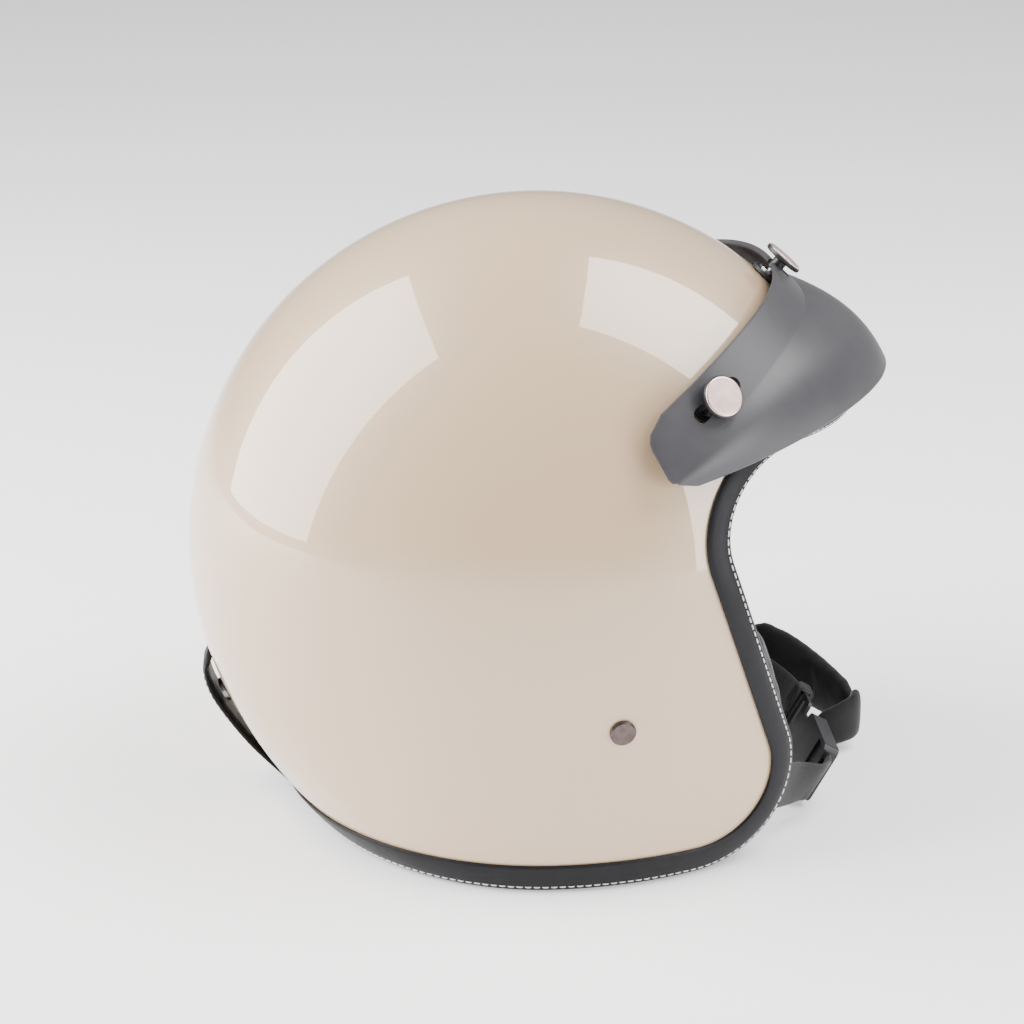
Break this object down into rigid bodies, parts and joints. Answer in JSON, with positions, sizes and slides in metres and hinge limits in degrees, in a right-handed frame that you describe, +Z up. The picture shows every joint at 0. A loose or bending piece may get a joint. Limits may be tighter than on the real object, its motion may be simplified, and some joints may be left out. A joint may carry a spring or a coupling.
{
  "type": "open face motorcycle helmet",
  "caption": "Open face motorcycle helmet with a stud-mounted peak, leather edge trim, padded lining, chin strap with quick-release buckle, and a rear goggle tab.",
  "frame": {"origin": "middle of the helmet's footprint, on the plane that its rim rests on", "axes": "+X towards the wearer's front, +Y towards the wearer's left, +Z up to the crown"},
  "size_m": [0.294, 0.238, 0.26],
  "materials": {
    "shell_paint": "glossy clear-coated cream paint over a moulded shell",
    "impact_foam": "moulded expanded bead foam",
    "lining": "brushed knit comfort lining",
    "lining_leather": "grained soft lining leather",
    "trim_leather": "grained black leather with white stitching",
    "rivet_metal": "dark nickel rivet",
    "plated_steel": "nickel plated steel",
    "strap_webbing": "woven black webbing",
    "strap_rubber": "moulded keeper loop",
    "suede": "black suede",
    "buckle_plastic": "moulded black nylon",
    "peak_plastic": "fine textured soft-touch black plastic",
    "black_rubber": "black rubber",
    "cap_plastic": "moulded black plastic",
    "cap_metal": "satin rose nickel disc",
    "tab_leather": "black leather"
  },
  "bodies": {
    "helmet": {"outer_shell": "shell_paint", "crown_impact_liner": "impact_foam", "crown_comfort_liner": "lining", "brow_pad": "lining_leather", "cheek_core_left": "impact_foam", "cheek_core_right": "impact_foam", "cheek_pad_left": "lining_leather", "cheek_pad_right": "lining_leather", "nape_roll": "lining_leather", "edge_trim": "trim_leather", "chin_strap_rivet_left": "rivet_metal", "chin_strap_rivet_right": "rivet_metal", "rivet_washer_left": "plated_steel", "rivet_washer_right": "plated_steel", "strap_anchor_left": "plated_steel", "strap_anchor_right": "plated_steel", "webbing_left": "strap_webbing", "webbing_right": "strap_webbing", "strap_keeper": "strap_rubber", "chin_pad": "suede", "buckle_receiver": "buckle_plastic", "lever_pin": "plated_steel", "lever_springs": "plated_steel", "stud_backing_nuts": "plated_steel", "stud_base_washers": "black_rubber", "stud_left": "plated_steel", "stud_right": "plated_steel", "stud_centre": "plated_steel", "tab_root": "tab_leather", "tab_stud": "plated_steel"},
    "visor": {"visor_peak": "peak_plastic"},
    "cap_left": {"snap_cap_left": "cap_plastic", "cap_disc_left": "cap_metal"},
    "cap_right": {"snap_cap_right": "cap_plastic", "cap_disc_right": "cap_metal"},
    "cap_centre": {"snap_cap_centre": "cap_plastic", "cap_disc_centre": "cap_metal"},
    "rear_tab": {"retainer_tab": "tab_leather", "tab_socket": "plated_steel"},
    "lever": {"buckle_lever": "buckle_plastic"},
    "tongue": {"buckle_tongue": "buckle_plastic"}
  },
  "joints": [
    {"name": "visor_tilt", "type": "hinge", "parent": "helmet", "child": "visor", "pos_m": [0.0629, 0, 0.20001], "axis": [0, 1, 0], "range_deg": [-5, 5]},
    {"name": "cap_left_pull", "type": "slide", "parent": "helmet", "child": "cap_left", "axis": [0.363, 0.7855, 0.5013], "range_m": [0, 0.01]},
    {"name": "cap_right_pull", "type": "slide", "parent": "helmet", "child": "cap_right", "axis": [0.363, -0.7855, 0.5013], "range_m": [0, 0.01]},
    {"name": "cap_centre_pull", "type": "slide", "parent": "helmet", "child": "cap_centre", "axis": [0.6556, 0, 0.7551], "range_m": [0, 0.008]},
    {"name": "rear_tab_open", "type": "hinge", "parent": "helmet", "child": "rear_tab", "pos_m": [-0.1116, 0, 0.0082], "axis": [0, -1, 0], "range_deg": [0, 40]},
    {"name": "lever_lift", "type": "hinge", "parent": "helmet", "child": "lever", "pos_m": [0.1201, -0.034, 0.01434], "axis": [-0.4821, 0, -0.8761], "range_deg": [0, 30], "stiffness_Nm_per_rad": 0.05, "springref_deg": -11.46},
    {"name": "ratchet_slide", "type": "slide", "parent": "helmet", "child": "tongue", "axis": [0, -1, 0], "range_m": [0, 0.0115]}
  ]
}
